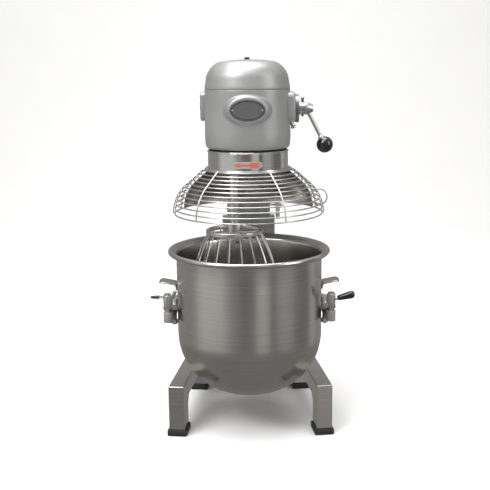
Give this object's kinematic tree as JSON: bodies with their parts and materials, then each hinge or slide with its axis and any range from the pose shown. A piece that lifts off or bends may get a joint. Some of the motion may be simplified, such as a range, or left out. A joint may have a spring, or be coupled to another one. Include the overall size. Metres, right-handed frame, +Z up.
{
  "type": "commercial stand mixer",
  "caption": "Bench planetary mixer: round-nosed head on a column, wire safety cage, stainless bowl in a lifting yoke, wire whisk and four-legged base.",
  "frame": {"origin": "on the floor plane, directly under the axis of the bowl and of the planetary drive", "axes": "+Z up, -Y towards the front of the machine, +X towards the gear-shift lever"},
  "size_m": [0.4365, 0.4582, 0.7858],
  "materials": {
    "cast_paint": "satin silver enamel",
    "steel": "brushed stainless",
    "polished": "polished stainless",
    "iron": "machined",
    "bright_steel": "machined and plated",
    "black_rubber": "moulded",
    "black_plastic": "gloss phenolic",
    "bronze": "turned bronze",
    "plate_grey": "printed aluminium",
    "label_red": "printed film",
    "button_green": "moulded",
    "button_red": "moulded",
    "dark_metal": "black enamel"
  },
  "bodies": {
    "frame": {"base_rail_left": "steel", "base_rail_right": "steel", "base_cross_member": "steel", "rubber_feet": "black_rubber", "column": "cast_paint", "column_rear_cover": "cast_paint", "column_fasteners": "bright_steel", "shaft_bearings": "bright_steel", "head_housing": "cast_paint", "head_cover": "cast_paint", "oil_cap": "black_plastic", "nameplate": "plate_grey", "head_gasket": "black_rubber", "guard_band": "polished", "rotation_label": "label_red", "rear_guard_sheet": "steel", "shift_cover": "cast_paint", "shift_dial": "dark_metal", "control_panel": "cast_paint", "ring_gear": "iron", "drive_belt": "black_rubber", "bearing_bridge": "iron", "motor_stator": "dark_metal", "bowl_sensor": "bright_steel"},
    "bowl_lift": {"bowl_carriage": "cast_paint", "yoke_arm_right": "cast_paint", "yoke_arm_left": "cast_paint", "yoke_pins": "bright_steel"},
    "lift_crank": {"lift_pinion_shaft": "iron", "lift_crank": "bright_steel", "lift_crank_grip": "black_plastic"},
    "bowl": {"bowl": "steel", "bowl_ears": "bright_steel", "bowl_handles": "steel"},
    "latch_right": {"latch_lever_right": "bright_steel", "latch_grip_right": "black_plastic"},
    "latch_left": {"latch_lever_left": "bright_steel", "latch_grip_left": "black_plastic"},
    "guard_cage": {"cage_hoops": "bright_steel", "cage_ribs": "bright_steel"},
    "shift_lever": {"shift_lever": "bright_steel", "shift_knob": "black_plastic", "shift_shaft": "bright_steel", "shift_thumbscrew": "dark_metal"},
    "shift_fork": {"shift_fork": "bronze"},
    "shift_collar": {"shift_collar": "iron"},
    "start_button": {"start_button": "button_green"},
    "stop_button": {"stop_button": "button_red"},
    "timer_knob": {"timer_knob": "black_plastic"},
    "planetary": {"planet_carrier": "iron", "main_shaft": "bright_steel", "agitator_bearings": "bronze", "main_gear": "iron"},
    "agitator": {"agitator_shaft": "bright_steel"},
    "whisk": {"whisk_frame": "bright_steel", "whisk_wires": "bright_steel"},
    "lay_shaft": {"lay_shaft": "iron", "lay_pulley": "iron"},
    "motor_rotor": {"motor_rotor": "iron", "motor_pulley": "iron"}
  },
  "joints": [
    {"name": "carriage_slide", "type": "slide", "parent": "frame", "child": "bowl_lift", "axis": [0, 0, 1], "range_m": [0, 0.05]},
    {"name": "crank_turn", "type": "hinge", "parent": "frame", "child": "lift_crank", "pos_m": [0, 0.218, 0.271], "axis": [-1, 0, 0], "range_deg": [0, 143.3]},
    {"name": "bowl_lift_off", "type": "slide", "parent": "bowl_lift", "child": "bowl", "axis": [0, 0, 1], "range_m": [0, 0.014]},
    {"name": "latch_right_turn", "type": "hinge", "parent": "bowl_lift", "child": "latch_right", "pos_m": [0.174, -0.036, 0.276], "axis": [0, 0, 1], "range_deg": [-90, 0]},
    {"name": "latch_left_turn", "type": "hinge", "parent": "bowl_lift", "child": "latch_left", "pos_m": [-0.174, -0.036, 0.276], "axis": [0, 0, -1], "range_deg": [-90, 0]},
    {"name": "cage_turn", "type": "hinge", "parent": "frame", "child": "guard_cage", "pos_m": [0, 0, 0.556], "axis": [0, 0, 1], "range_deg": [-100, 0]},
    {"name": "shift_turn", "type": "hinge", "parent": "frame", "child": "shift_lever", "pos_m": [0.118, 0.008, 0.6795], "axis": [1, 0, 0], "range_deg": [-40, 40]},
    {"name": "fork_slide", "type": "slide", "parent": "frame", "child": "shift_fork", "axis": [0, 0, 1], "range_m": [-0.0075, 0.0075]},
    {"name": "collar_slide", "type": "slide", "parent": "lay_shaft", "child": "shift_collar", "axis": [0, 0, 1], "range_m": [-0.0075, 0.0075]},
    {"name": "start_press", "type": "slide", "parent": "frame", "child": "start_button", "axis": [1, 0, 0], "range_m": [0, 0.0015], "stiffness_N_per_m": 400, "springref_m": -0.002},
    {"name": "stop_press", "type": "slide", "parent": "frame", "child": "stop_button", "axis": [1, 0, 0], "range_m": [0, 0.0015], "stiffness_N_per_m": 400, "springref_m": -0.002},
    {"name": "timer_turn", "type": "hinge", "parent": "frame", "child": "timer_knob", "pos_m": [-0.1, 0.114, 0.684], "axis": [1, 0, 0], "range_deg": [0, 300]},
    {"name": "planetary_turn", "type": "hinge", "parent": "frame", "child": "planetary", "pos_m": [0, 0, 0.556], "axis": [0, 0, 1], "continuous": true},
    {"name": "agitator_turn", "type": "hinge", "parent": "planetary", "child": "agitator", "pos_m": [-0.03, -0.01803, 0.546], "axis": [0, 0, 1], "continuous": true},
    {"name": "whisk_drop", "type": "slide", "parent": "agitator", "child": "whisk", "axis": [0, 0, 1], "range_m": [-0.02, 0]},
    {"name": "lay_turn", "type": "hinge", "parent": "frame", "child": "lay_shaft", "pos_m": [0, 0.075, 0.636], "axis": [0, 0, 1], "continuous": true},
    {"name": "motor_turn", "type": "hinge", "parent": "frame", "child": "motor_rotor", "pos_m": [0, 0.186, 0.636], "axis": [0, 0, 1], "continuous": true}
  ],
  "couplings": [
    {"joint": "crank_turn", "follows": "carriage_slide", "rad_per_m": 50},
    {"joint": "agitator_turn", "follows": "planetary_turn", "ratio": -3},
    {"joint": "lay_turn", "follows": "planetary_turn", "ratio": -3},
    {"joint": "motor_turn", "follows": "planetary_turn", "ratio": -6},
    {"joint": "fork_slide", "follows": "shift_turn", "m_per_rad": 0.01},
    {"joint": "collar_slide", "follows": "shift_turn", "m_per_rad": 0.01}
  ]
}
